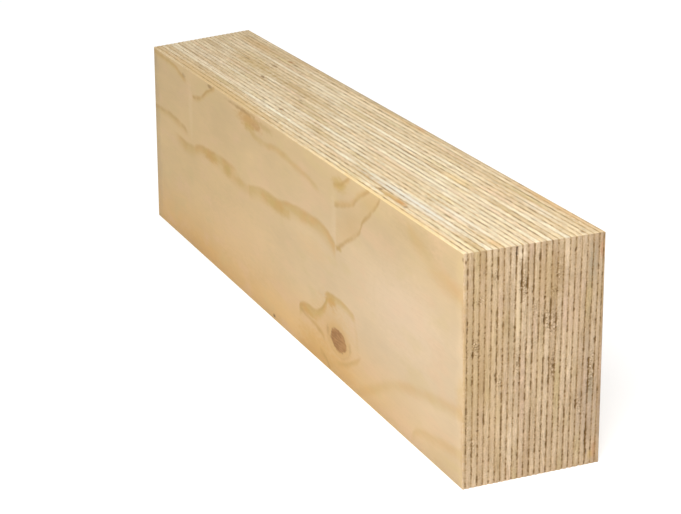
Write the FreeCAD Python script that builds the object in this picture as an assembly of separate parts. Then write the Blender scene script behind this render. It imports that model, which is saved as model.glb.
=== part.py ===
"""Laminated veneer lumber beam, a sawn length standing on its narrow edge.

The beam is pressed from parallel sheets of peeled softwood veneer, all with the
grain along the beam. Pressing makes it one solid block. The sawn edges and ends
show every glue line as a fine groove, because the saw tears the brittle glue
and the cracked wood beside it a little deeper than the sound veneer.

Frame: +X along the grain to the end that is sawn square, +Y across the veneers,
+Z up. The origin is the centre of the bottom of the bounding box.
"""

import FreeCAD
import Part
import math
import os

# Overall sizes, in millimetres
beam_width = 75.0  # across the veneers
beam_depth = 120.0  # from the bottom edge to the top edge
left_length = 470.0  # along the bottom of the face at -Y

# The lay-up
veneer_count = 25
face_veneer_thickness = 2.1  # the outermost veneers, sanded after pressing

# The far end is a rough cut-off: turned in plan, and out of plumb
far_cut_turn = 15.0  # degrees, the +Y side is the longer one
far_cut_rake = 3.0  # degrees, the bottom is longer than the top

# Fine edges
glue_groove_width = 0.6  # at the surface
glue_groove_depth = 0.35
arris_easing = 0.4  # both ways, on the outer edges of the two faces

# An open core gap shows in the square end, beside one glue line near the top
core_gap_glue_line = 9  # counted from the face at -Y
core_gap_width = 0.9
core_gap_height = 5.0
core_gap_top_margin = 0.9  # below the top edge
core_gap_reach = 12.0  # into the beam, from the square end


def glue_line_positions():
    """Y of each glue line, from the face at -Y to the face at +Y."""
    inner_count = veneer_count - 2
    inner_thickness = (beam_width - 2 * face_veneer_thickness) / inner_count
    first = -beam_width / 2 + face_veneer_thickness
    return [first + i * inner_thickness for i in range(inner_count + 1)]


def end_positions():
    """X of the square end, and of the bottom left corner of the far end."""
    overall_length = left_length + beam_width * math.tan(math.radians(far_cut_turn))
    square_end = overall_length / 2
    return square_end, square_end - left_length


def outline(y, inset):
    """The beam's four corners in the plane at y, drawn in from its surface by inset.

    The corners run from the bottom of the far end to the bottom of the square
    end, the top of the square end and the top of the far end.
    """
    square_end, far_corner = end_positions()
    turn = math.tan(math.radians(far_cut_turn))
    rake = math.tan(math.radians(far_cut_rake))
    bottom = inset
    top = beam_depth - inset

    def far_end(z):
        return far_corner - (y + beam_width / 2) * turn + z * rake + inset

    return [
        FreeCAD.Vector(far_end(bottom), y, bottom),
        FreeCAD.Vector(square_end - inset, y, bottom),
        FreeCAD.Vector(square_end - inset, y, top),
        FreeCAD.Vector(far_end(top), y, top),
    ]


def section_outlines():
    """The outlines that the surface passes through, from -Y to +Y."""
    face = beam_width / 2
    half_groove = glue_groove_width / 2
    outlines = [outline(-face, arris_easing), outline(-face + arris_easing, 0.0)]
    for y in glue_line_positions():
        outlines.append(outline(y - half_groove, 0.0))
        outlines.append(outline(y, glue_groove_depth))
        outlines.append(outline(y + half_groove, 0.0))
    outlines.append(outline(face - arris_easing, 0.0))
    outlines.append(outline(face, arris_easing))
    return outlines


def flat_face(corners):
    """A plane face with these corners."""
    return Part.Face(Part.makePolygon(corners + corners[:1]))


def pressed_block():
    """The whole beam as one solid, its skin laid on veneer by veneer."""
    outlines = section_outlines()
    faces = [flat_face(outlines[0]), flat_face(outlines[-1])]
    for near, far in zip(outlines, outlines[1:]):
        for i in range(len(near)):
            j = (i + 1) % len(near)
            faces.append(flat_face([near[i], near[j], far[j], far[i]]))
    shell = Part.makeShell(faces)
    shell.sewShape()
    block = Part.makeSolid(shell)
    if block.Volume < 0:
        block.reverse()
    return block


def core_gap():
    """The open gap beside a glue line: a flat slot with round ends, run in along the grain."""
    square_end, _ = end_positions()
    radius = core_gap_width / 2
    centre_y = glue_line_positions()[core_gap_glue_line - 1] + radius
    upper = beam_depth - core_gap_top_margin - radius
    lower = beam_depth - core_gap_top_margin - core_gap_height + radius
    inner = square_end - core_gap_reach

    def at(y, z):
        return FreeCAD.Vector(inner, y, z)

    slot = Part.Wire(
        [
            Part.LineSegment(at(centre_y - radius, lower), at(centre_y - radius, upper)).toShape(),
            Part.Arc(at(centre_y - radius, upper), at(centre_y, upper + radius), at(centre_y + radius, upper)).toShape(),
            Part.LineSegment(at(centre_y + radius, upper), at(centre_y + radius, lower)).toShape(),
            Part.Arc(at(centre_y + radius, lower), at(centre_y, lower - radius), at(centre_y - radius, lower)).toShape(),
        ]
    )
    past_the_end = core_gap_reach + glue_groove_depth
    return Part.Face(slot).extrude(FreeCAD.Vector(past_the_end, 0, 0))


def lvl_beam():
    """The beam: the pressed block with its open core gap, as one solid."""
    return pressed_block().cut(core_gap()).Solids[0]


def main():
    """Builds the beam and writes it as a STEP file."""
    os.makedirs("parts", exist_ok=True)
    beam = lvl_beam()
    beam.exportStep("parts/lvl_beam.step")
    box = beam.BoundBox
    print("lvl_beam", beam.ShapeType, len(beam.Solids), "valid", beam.isValid())
    print("size", round(box.XLength, 2), round(box.YLength, 2), round(box.ZLength, 2))
    print("x", round(box.XMin, 2), round(box.XMax, 2), "volume", round(beam.Volume))


main()
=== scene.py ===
"""Laminated veneer lumber beam: its skin, its finishes, the studio and the camera.

One closed skin stands for the pressed beam. It is a surface of two parameters:
the way round the beam's outline, and the way across its 25 veneers. Depth below
the sawn surface gives it the glue grooves, the torn pits, the lathe checks and
the open core gap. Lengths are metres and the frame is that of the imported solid:
+X along the grain to the square end, +Y across the veneers, +Z up.
"""

from __future__ import annotations

import logging
import math
from dataclasses import dataclass, field
from enum import Enum, IntEnum
from functools import partial, reduce

import bpy
import numpy as np
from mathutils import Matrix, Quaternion, Vector
from mathutils.geometry import delaunay_2d_cdt


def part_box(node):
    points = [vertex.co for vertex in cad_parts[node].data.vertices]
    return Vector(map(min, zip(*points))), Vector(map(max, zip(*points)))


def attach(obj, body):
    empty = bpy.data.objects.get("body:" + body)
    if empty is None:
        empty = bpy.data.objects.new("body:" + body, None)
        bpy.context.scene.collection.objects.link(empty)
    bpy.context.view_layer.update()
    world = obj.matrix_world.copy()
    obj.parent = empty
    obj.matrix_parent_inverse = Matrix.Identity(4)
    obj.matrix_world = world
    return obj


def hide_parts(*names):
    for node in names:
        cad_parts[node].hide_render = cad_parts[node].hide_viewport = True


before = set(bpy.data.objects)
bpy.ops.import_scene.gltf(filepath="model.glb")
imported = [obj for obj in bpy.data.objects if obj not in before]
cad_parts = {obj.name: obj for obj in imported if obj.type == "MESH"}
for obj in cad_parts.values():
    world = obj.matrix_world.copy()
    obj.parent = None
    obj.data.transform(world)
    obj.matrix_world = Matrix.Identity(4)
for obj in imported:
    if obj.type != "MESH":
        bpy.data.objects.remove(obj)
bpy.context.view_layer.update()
MM = 0.001
LOG = logging.getLogger("lvl_beam")
# The middle and the half size of the left face's knot, in millimetres.
KNOT = ((93.5, 22.0), (10.8, 6.2))


class Side(IntEnum):
    """The four sawn sides, in the order in which the outline goes round them."""

    BOTTOM = 0
    SQUARE_END = 1
    TOP = 2
    FAR_END = 3


class Finish(IntEnum):
    """The material slots of the skin."""

    LEFT_FACE = 0
    RIGHT_FACE = 1
    SAWN_EDGE = 2
    SAWN_END = 3


class Heading(Enum):
    """The way that a growth-ring line runs on a peeled face."""

    ALONG = "along the grain"
    UPWARDS = "up the face"


def linear(red: float, green: float, blue: float) -> tuple[float, float, float, float]:
    """Gives a screen colour as scene-linear values.

    Args:
        red: The red part, from 0 to 255.
        green: The green part.
        blue: The blue part.

    Returns:
        Linear red, green and blue, and an alpha of 1.
    """
    parts = np.array([red, green, blue]) / 255.0
    low = parts / 12.92
    high = ((parts + 0.055) / 1.055) ** 2.4
    r, g, b = np.where(parts <= 0.04045, low, high)
    return float(r), float(g), float(b), 1.0


@dataclass(frozen=True)
class Grain:
    """Smooth repeatable noise on a lattice of hashed numbers."""

    seed: int

    def lattice(self, i: np.ndarray, j: np.ndarray) -> np.ndarray:
        """Gives the number from 0 to 1 that belongs to each lattice point.

        Args:
            i: Whole numbers along the first direction.
            j: Whole numbers along the second direction.

        Returns:
            The hashed numbers, in the shape of i and j.
        """
        mask = np.int64(0xFFFFFFFF)
        n = (i.astype(np.int64) * 374761393 + j.astype(np.int64) * 668265263 + self.seed * 974634777) & mask
        n = ((n ^ (n >> 13)) * 1274126177) & mask
        n = ((n ^ (n >> 16)) * 2246822519) & mask
        return ((n ^ (n >> 15)) & 0xFFFFFF) / float(0xFFFFFF)

    def smooth(self, u: np.ndarray, v: np.ndarray) -> np.ndarray:
        """Blends the four lattice numbers round each point with the curve 3t² - 2t³.

        Args:
            u: Places along the first direction, in lattice steps.
            v: Places along the second direction, in lattice steps.

        Returns:
            Noise from 0 to 1, in the common shape of u and v.
        """
        u, v = np.broadcast_arrays(u, v)
        i, j = np.floor(u), np.floor(v)
        s, t = u - i, v - j
        s = s * s * (3 - 2 * s)
        t = t * t * (3 - 2 * t)
        near = self.lattice(i, j) * (1 - s) + self.lattice(i + 1, j) * s
        far = self.lattice(i, j + 1) * (1 - s) + self.lattice(i + 1, j + 1) * s
        return near * (1 - t) + far * t

    def layered(self, u: np.ndarray, v: np.ndarray) -> np.ndarray:
        """Adds a second layer of noise, twice as fine and half as strong, and keeps it from 0 to 1."""
        return (self.smooth(u, v) + 0.5 * Grain(self.seed + 17).smooth(u * 2, v * 2)) / 1.5


def ease(value: np.ndarray, low: float, high: float) -> np.ndarray:
    """Rises smoothly from 0 at low to 1 at high, or falls where low is the larger.

    Args:
        value: The numbers to ease.
        low: Where the result is 0.
        high: Where the result is 1.

    Returns:
        The eased numbers, by the curve 3t² - 2t³.
    """
    t = np.clip((value - low) / (high - low), 0.0, 1.0)
    return t * t * (3 - 2 * t)


@dataclass(frozen=True)
class TornPatch:
    """A place on the square end where the saw tore the wood badly, in millimetres."""

    middle: tuple[float, float]
    reach: tuple[float, float]
    strength: float

    def weight(self, y: np.ndarray, z: np.ndarray) -> np.ndarray:
        """Falls off from the patch's middle as a bell curve.

        Args:
            y: Places across the veneers, in metres.
            z: Heights, in metres.

        Returns:
            The patch's strength at each place.
        """
        across = (y - self.middle[0] * MM) / (self.reach[0] * MM)
        up = (z - self.middle[1] * MM) / (self.reach[1] * MM)
        return self.strength * np.exp(-(across**2 + up**2))


TORN_PATCHES = (
    TornPatch((-6.0, 100.0), (2.6, 8.0), 1.0),
    TornPatch((8.0, 82.0), (5.0, 8.0), 0.85),
    TornPatch((12.0, 104.0), (3.5, 9.0), 0.5),
    TornPatch((-8.4, 59.0), (1.4, 8.0), 0.8),
    TornPatch((31.2, 48.0), (2.6, 12.0), 0.8),
    TornPatch((25.0, 34.0), (3.2, 5.0), 0.65),
    TornPatch((-31.2, 72.0), (2.4, 5.5), 0.85),
    TornPatch((-29.5, 95.5), (2.4, 2.4), 0.7),
    TornPatch((-31.5, 26.0), (3.5, 10.0), 0.55),
    TornPatch((-18.5, 52.5), (1.8, 6.0), 0.6),
    TornPatch((-20.0, 107.0), (1.4, 4.5), 0.6),
    TornPatch((2.4, 113.5), (1.4, 3.5), 0.7),
    TornPatch((10.0, 56.0), (2.2, 6.5), 0.65),
    TornPatch((29.6, 15.0), (0.9, 9.0), 1.1),
)


@dataclass
class LayUp:
    """The 25 veneers across the beam, and the skin's columns that follow them.

    The veneers lean a little in the section. The first line is this far from
    the left face at the bottom and at the top, and the inner veneers' thickness
    changes in the same way. The last glue line has its own place.
    """

    width: float
    depth: float
    veneer_count: int = 25
    first_line: tuple[float, float] = (1.6 * MM, 2.15 * MM)
    thickness: tuple[float, float] = (3.105 * MM, 3.175 * MM)
    last_line: tuple[float, float] = (72.5 * MM, 74.1 * MM)
    nominal_thickness: float = 3.14 * MM
    groove_half_width: float = 0.3 * MM
    arris_easing: float = 0.4 * MM
    arris_round: float = 0.12 * MM
    outer_shares: tuple[float, ...] = (0.34, 0.67, 1.0)
    inner_shares: tuple[float, ...] = (0.0, 0.25, 0.5, 0.75, 1.0)

    def line_places(self, z: np.ndarray) -> np.ndarray:
        """Gives each glue line's distance from the left face.

        Each value goes in a straight line from its size at the bottom to its
        size at the top.

        Args:
            z: The height of each row, in metres.

        Returns:
            One row for each height and one column for each of the 24 lines.
        """
        rise = (z / self.depth)[:, None]
        pairs = (self.first_line, self.thickness, self.last_line)
        first, thickness, last = (low * (1 - rise) + high * rise for low, high in pairs)
        regular = first + thickness * np.arange(self.veneer_count - 2)[None, :]
        return np.concatenate([regular, last], axis=1)

    def columns(self, z: np.ndarray) -> tuple[np.ndarray, np.ndarray]:
        """Gives the skin's columns across the veneers.

        A veneer has a column on its glue line, one at each edge of the groove
        and three spread evenly between them. The outermost veneers have columns
        for the eased arris instead.

        Args:
            z: The height of each row, in metres.

        Returns:
            The distance from the left face, and the same place counted in
            veneers, each with one row for each height.
        """
        lines = self.line_places(z)
        groove, easing = self.groove_half_width, self.arris_easing
        face = np.zeros((len(z), 1))
        edge = lines[:, :1] - groove
        parts = [face, face + self.arris_round, face + easing]
        parts += [easing + (edge - easing) * share for share in self.outer_shares]
        for k in range(self.veneer_count - 2):
            near, far = lines[:, k : k + 1], lines[:, k + 1 : k + 2]
            parts += [near, near + groove + (far - near - 2 * groove) * np.array(self.inner_shares)[None, :]]
        last = lines[:, -1:]
        face = face + self.width
        parts += [last, last + groove, face - easing, face - self.arris_round, face]
        distance = np.concatenate(parts, axis=1)
        return distance, self.counted(distance, lines)

    def counted(self, distance: np.ndarray, lines: np.ndarray) -> np.ndarray:
        """Turns a distance from the left face into a place counted in veneers.

        Glue lines have the whole numbers from 1 to 24. Between two lines the
        count goes evenly, and in the outermost veneers it goes by the nominal
        thickness.

        Args:
            distance: Distances from the left face, a row for each height.
            lines: The glue lines' distances, a row for each height.

        Returns:
            The counts, in the shape of distance.
        """
        first = 1 + (distance - lines[:, :1]) / self.nominal_thickness
        last = lines.shape[1] + (distance - lines[:, -1:]) / self.nominal_thickness
        count = np.where(distance < lines[:, :1], first, last)
        for k in range(lines.shape[1] - 1):
            near, far = lines[:, k : k + 1], lines[:, k + 1 : k + 2]
            inside = (distance >= near) & (distance < far)
            count = np.where(inside, k + 1 + (distance - near) / (far - near), count)
        return count


@dataclass(frozen=True)
class Rows:
    """The skin's rows: the side each is on, its share along that side, and its height."""

    side: np.ndarray
    share: np.ndarray
    z: np.ndarray


@dataclass
class BeamSkin:
    """The whole surface of the beam as one closed mesh."""

    left_length: float = 470.0 * MM
    far_cut_turn: float = math.radians(15.0)
    far_cut_rake: float = math.radians(3.0)
    row_counts: dict[Side, int] = field(
        default_factory=lambda: {Side.BOTTOM: 130, Side.SQUARE_END: 212, Side.TOP: 180, Side.FAR_END: 100}
    )
    closeness: float = 1.25
    groove_depth: float = 0.20 * MM
    notch_depth: float = 0.14 * MM
    notch_reach: float = 2.0 * MM
    pit_depth: float = 0.50 * MM
    check_depth: float = 0.24 * MM
    check_spacing: float = 2.6 * MM
    smooth_rim: float = 1.5 * MM
    easing_depth: float = 0.36 * MM
    face_margin: float = 0.9 * MM
    core_gap_line: int = 9
    core_gap_width: tuple[float, float] = (-0.05 * MM, 0.9 * MM)
    core_gap_height: tuple[float, float] = (114.6 * MM, 118.9 * MM)
    core_gap_depth: float = 7.0 * MM
    knot_dish: float = 0.12 * MM
    knot_groove: float = 0.1 * MM
    coarse_step: float = 9.0 * MM
    fine_step: float = 1.5 * MM
    rim_margin: float = 5.0 * MM
    sharp_angle: float = math.radians(38.0)

    def __post_init__(self) -> None:
        """Reads the section and the square end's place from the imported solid."""
        low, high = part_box("lvl_beam")
        self.width = high.y - low.y
        self.depth = high.z - low.z
        self.left_face = low.y
        self.square_end = high.x
        self.lay_up = LayUp(self.width, self.depth)

    def far_end(self, y: np.ndarray, z: np.ndarray) -> np.ndarray:
        """Gives x on the far cut, a plane turned in plan and out of plumb.

        Args:
            y: Places across the veneers, in metres.
            z: Heights, in metres.

        Returns:
            x at each place.
        """
        corner = self.square_end - self.left_length
        return corner - (y - self.left_face) * math.tan(self.far_cut_turn) + z * math.tan(self.far_cut_rake)

    def outline_rows(self) -> Rows:
        """Lays the rows round the outline.

        The rows of the top and bottom edges lie closer together near the square
        end, by a power of the share along the side. Rows are level on the edges
        and rise or fall on the ends.

        Returns:
            The rows, with shares from 0 to under 1.
        """
        sides, shares = [], []
        for side, count in self.row_counts.items():
            share = np.arange(count) / count
            if side is Side.BOTTOM:
                share = 1 - (1 - share) ** self.closeness
            elif side is Side.TOP:
                share = share**self.closeness
            sides.append(np.full(count, int(side)))
            shares.append(share)
        side, share = np.concatenate(sides), np.concatenate(shares)
        level, rising = np.zeros_like(share), share * self.depth
        return Rows(side, share, np.choose(side, [level, rising, level + self.depth, self.depth - rising]))

    def way_round(self, rows: Rows) -> tuple[np.ndarray, np.ndarray]:
        """Gives the way round the outline, and how far each row is from the ends of its side.

        Args:
            rows: The rows.

        Returns:
            Both in metres.
        """
        lengths = np.array([self.left_length, self.depth, self.left_length, self.depth])
        starts = np.concatenate([[0.0], np.cumsum(lengths)[:-1]])
        along = lengths[rows.side]
        return starts[rows.side] + rows.share * along, np.minimum(rows.share, 1 - rows.share) * along

    def relief(
        self, rows: Rows, distance: np.ndarray, lay: np.ndarray
    ) -> tuple[np.ndarray, np.ndarray, np.ndarray]:
        """Works out how deep the saw tore each point of the sawn sides.

        Depth is the sum of a groove at each glue line, notches on the arrises
        where the saw left, pits where noise along the line passes a threshold,
        slanting lathe checks, a level of its own for each veneer, and the core
        gap. The threshold drops in the torn patches. Ends are rougher than edges.

        Args:
            rows: The rows.
            distance: Each point's distance from the left face.
            lay: Each point's place counted in veneers.

        Returns:
            The depth of each point in metres, how torn it is, from 0 to 1, and
            how far it lies in a torn patch.
        """
        way, from_arris = self.way_round(rows)
        run = (way / MM)[:, None]
        on_end = (rows.side == Side.SQUARE_END) | (rows.side == Side.FAR_END)
        on_ends = ease(np.where(on_end, from_arris, 0.0), 0.0, self.smooth_rim)[:, None]
        roughness = 0.25 + 0.75 * on_ends
        notch = ease(from_arris, self.notch_reach, 0.0)[:, None]
        on_square_end = (rows.side == Side.SQUARE_END)[:, None]
        height = np.broadcast_to(rows.z[:, None], lay.shape)
        across = distance + self.left_face
        line = np.round(lay)
        off_line = np.abs(lay - line) * self.lay_up.nominal_thickness
        veneer = np.floor(lay)
        patch = sum(torn.weight(across, height) for torn in TORN_PATCHES)
        patch = np.clip(patch, 0.0, 1.0) * on_square_end

        dash = Grain(3).layered(run / 1.9, line * 7.31)
        slow = Grain(11).smooth(run / 24.0, line * 3.77)
        open_line = ease(dash + 0.40 * (slow - 0.5) + 0.30 * patch, 0.52, 0.80)
        reach = (0.24 + 0.30 * Grain(5).smooth(run / 1.7, line * 5.13)) * MM
        groove = ease(off_line, reach + 0.22 * MM, reach - 0.14 * MM)
        depth = groove * self.groove_depth * (0.35 + 0.65 * open_line) * (0.5 + 0.5 * roughness)
        depth += groove * notch * self.notch_depth

        pit_noise = Grain(23).layered(run / 1.5, lay * 1.9)
        pit = ease(pit_noise + 0.34 * patch, 0.78, 0.94) * ease(off_line, 1.3 * MM, 0.2 * MM)
        depth += pit * self.pit_depth * roughness

        slant = (lay - veneer - 0.5) * 2.2
        phase = run / (self.check_spacing / MM) + slant + 1.7 * Grain(31).smooth(run / 6.0, veneer * 9.1)
        cell = np.floor(phase)
        crack = ease(np.abs(phase - cell - 0.5), 0.17, 0.03)
        cracked = Grain(37).lattice(cell, veneer) < 0.16 + 0.55 * patch
        check = crack * cracked * ease(off_line, 1.5 * MM, 0.7 * MM)
        depth += check * self.check_depth * on_ends

        level = Grain(41).smooth(run / 60.0, veneer * 4.7)
        depth += (0.01 + 0.07 * level) * MM * roughness

        torn = 0.75 * groove * open_line * roughness + 0.9 * pit * roughness + 0.7 * check * on_ends
        gap = self.core_gap(rows, distance) * on_square_end
        depth = np.maximum(depth, gap * self.core_gap_depth)
        return depth, np.maximum(np.clip(torn, 0.0, 1.0), gap), patch

    def core_gap(self, rows: Rows, distance: np.ndarray) -> np.ndarray:
        """Marks the open core gap: 1 inside its slot beside the glue line, 0 outside.

        Args:
            rows: The rows.
            distance: Each point's distance from the left face.

        Returns:
            1 or 0 for each point.
        """
        off = distance - self.lay_up.line_places(rows.z)[:, self.core_gap_line - 1 : self.core_gap_line]
        near, far = self.core_gap_width
        low, high = self.core_gap_height
        inside = (rows.z > low) & (rows.z < high)
        return ((off > near) & (off < far) & inside[:, None]).astype(float)

    def band(self) -> tuple[np.ndarray, dict[str, np.ndarray], np.ndarray]:
        """Works out the sawn sides as a surface of the way round and the way across.

        A point is its place on the outline, moved inwards by its depth: up from
        the bottom, back from the square end, down from the top and forward from
        the far cut. A corner row moves both ways. The long arrises are moved in
        by an easing that fades out within 0.4 mm of the face.

        Returns:
            Points by row and column, the numbers that the finishes read, and
            the side of each row. The numbers are the count in veneers, how torn
            each point is and how far it lies in a torn patch.
        """
        rows = self.outline_rows()
        distance, lay = self.lay_up.columns(rows.z)
        depth, torn, patch = self.relief(rows, distance, lay)
        from_face = np.minimum(distance, self.width - distance)
        eased = self.easing_depth * np.clip(1 - from_face / self.lay_up.arris_easing, 0.0, 1.0) ** 2
        depth = depth * ease(from_face, 0.0, self.face_margin) + eased

        y = distance + self.left_face
        z = np.broadcast_to(rows.z[:, None], y.shape)
        share = rows.share[:, None]
        far_x = self.far_end(y, z)
        choices = [
            far_x + (self.square_end - far_x) * share,
            np.full_like(y, self.square_end),
            self.square_end + (far_x - self.square_end) * share,
            far_x,
        ]
        x = np.choose(np.broadcast_to(rows.side[:, None], y.shape), choices)
        inward = np.array([[0.0, 1.0], [-1.0, 0.0], [0.0, -1.0], [1.0, 0.0]])
        move = inward[rows.side]
        move = np.where(share == 0, move + inward[rows.side - 1], move)
        points = np.stack([x + depth * move[:, :1], y, z + depth * move[:, 1:]], axis=-1)
        return points, {"lay": lay, "torn": torn, "patch": patch}, rows.side

    def face_cap(self, rim: np.ndarray, dished: bool) -> tuple[np.ndarray, np.ndarray]:
        """Fills a peeled face with well-shaped triangles inside its rim.

        Inner points lie on a coarse grid, and round the knot on a fine one.
        Their depth is a shallow dish with an elliptical rim.

        Args:
            rim: x and z of the rim's points, going round once.
            dished: Whether this face has the knot.

        Returns:
            x, z and depth of the inner points, and the triangles, which count
            the rim's points first.
        """
        low, high = rim.min(axis=0), rim.max(axis=0)
        grid = self.inner_grid(low, high, self.coarse_step)
        middle, half = np.array(KNOT) * MM
        if dished:
            reach = half * 1.9
            fine = self.inner_grid(middle - reach, middle + reach, self.fine_step)
            outside = (np.abs(grid - middle) > reach + 3.0 * MM).any(axis=1)
            grid = np.concatenate([grid[outside], fine])
        low[0] += self.depth * math.tan(self.far_cut_rake)
        inner = grid[((grid > low + self.rim_margin) & (grid < high - self.rim_margin)).all(axis=1)]
        flat = [Vector(p) for p in np.concatenate([rim, inner])]
        triangles = delaunay_2d_cdt(flat, [], [list(range(len(rim)))], 1, 1e-7)[2]
        radius = np.sqrt((((inner - middle) / half) ** 2).sum(axis=1))
        dish = ease(radius, 1.15, 0.55) * self.knot_dish
        dish += ease(np.abs(radius - 1.0), 0.16, 0.0) * self.knot_groove
        return np.column_stack([inner, dish * dished]), np.array(triangles, dtype=np.int64)

    def inner_grid(self, low: np.ndarray, high: np.ndarray, step: float) -> np.ndarray:
        """Gives a square grid of points, with every second row moved by half a step.

        Args:
            low: The lowest x and z.
            high: The highest x and z.
            step: The distance between points.

        Returns:
            x and z of the points.
        """
        x, z = np.meshgrid(np.arange(low[0], high[0], step), np.arange(low[1], high[1], step))
        shift = (np.arange(x.shape[0]) % 2)[:, None] * step / 2
        return np.column_stack([(x + shift).ravel(), z.ravel()])

    def build(self) -> bpy.types.Object:
        """Makes the skin's mesh with its finish slots and the numbers that the finishes read.

        Returns:
            The object, at the origin.
        """
        points, numbers, side = self.band()
        row_count, column_count = points.shape[:2]
        row = np.arange(row_count)[:, None]
        column = np.arange(column_count - 1)[None, :]
        here = row * column_count + column
        there = ((row + 1) % row_count) * column_count + column
        quads = np.stack([here, here + 1, there + 1, there], axis=-1).reshape(-1, 4)
        on_edge = (side == Side.TOP) | (side == Side.BOTTOM)
        slots = [np.repeat(np.where(on_edge, Finish.SAWN_EDGE, Finish.SAWN_END), column_count - 1)]

        vertices, triangles = [points.reshape(-1, 3)], []
        values = {name: [number.ravel()] for name, number in numbers.items()}
        count = row_count * column_count
        caps = ((Finish.LEFT_FACE, 0, 1), (Finish.RIGHT_FACE, column_count - 1, -1))
        for finish, cap_column, inward in caps:
            rim = points[:, cap_column]
            inner, corners = self.face_cap(rim[:, [0, 2]], finish is Finish.LEFT_FACE)
            vertices.append(np.column_stack([inner[:, 0], rim[0, 1] + inward * inner[:, 2], inner[:, 1]]))
            for name, value in (("lay", numbers["lay"][0, cap_column]), ("torn", 0.0), ("patch", 0.0)):
                values[name].append(np.full(len(inner), value))
            rim_index = np.arange(row_count) * column_count + cap_column
            triangles.append(np.concatenate([rim_index, count + np.arange(len(inner))])[corners][:, ::inward])
            slots.append(np.full(len(corners), int(finish)))
            count += len(inner)
        mesh = mesh_from_arrays(*(np.concatenate(part) for part in (vertices, [quads], triangles, slots)))
        mesh.set_sharp_from_angle(angle=self.sharp_angle)
        for name, parts in values.items():
            attribute = mesh.attributes.new(name, "FLOAT", "POINT")
            attribute.data.foreach_set("value", np.concatenate(parts).astype(np.float32))
        return placed("lvl_beam_skin", mesh)

    def dress(self, skin: bpy.types.Object, materials: dict[Finish, bpy.types.Material]) -> None:
        """Gives the skin its materials and seats it in the frame.

        Args:
            skin: The object that build made.
            materials: The material for each finish.
        """
        for finish in Finish:
            skin.data.materials.append(materials[finish])
        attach(skin, "root")
        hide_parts("lvl_beam")


def mesh_from_arrays(
    vertices: np.ndarray, quads: np.ndarray, triangles: np.ndarray, slots: np.ndarray
) -> bpy.types.Mesh:
    """Puts whole arrays into a new mesh.

    Args:
        vertices: A row of x, y and z for each vertex.
        quads: A row of four vertex numbers for each quad.
        triangles: A row of three vertex numbers for each triangle.
        slots: The material slot of each quad and then of each triangle.

    Returns:
        The mesh, smooth.
    """
    mesh = bpy.data.meshes.new("lvl_beam_skin")
    corners = np.concatenate([quads.ravel(), triangles.ravel()]).astype(np.int32)
    sizes = np.repeat([4, 3], [len(quads), len(triangles)])
    mesh.vertices.add(len(vertices))
    mesh.vertices.foreach_set("co", vertices.astype(np.float32).ravel())
    mesh.loops.add(len(corners))
    mesh.loops.foreach_set("vertex_index", corners)
    mesh.polygons.add(len(sizes))
    mesh.polygons.foreach_set("loop_start", (np.cumsum(sizes) - sizes).astype(np.int32))
    mesh.polygons.foreach_set("material_index", slots.astype(np.int32))
    mesh.polygons.foreach_set("use_smooth", np.ones(len(sizes), dtype=bool))
    mesh.update(calc_edges=True)
    return mesh


Input = bpy.types.NodeSocket | float | tuple[float, ...]
Tone = tuple[float, float, float]
Route = tuple[tuple[float, float], ...]


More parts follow.
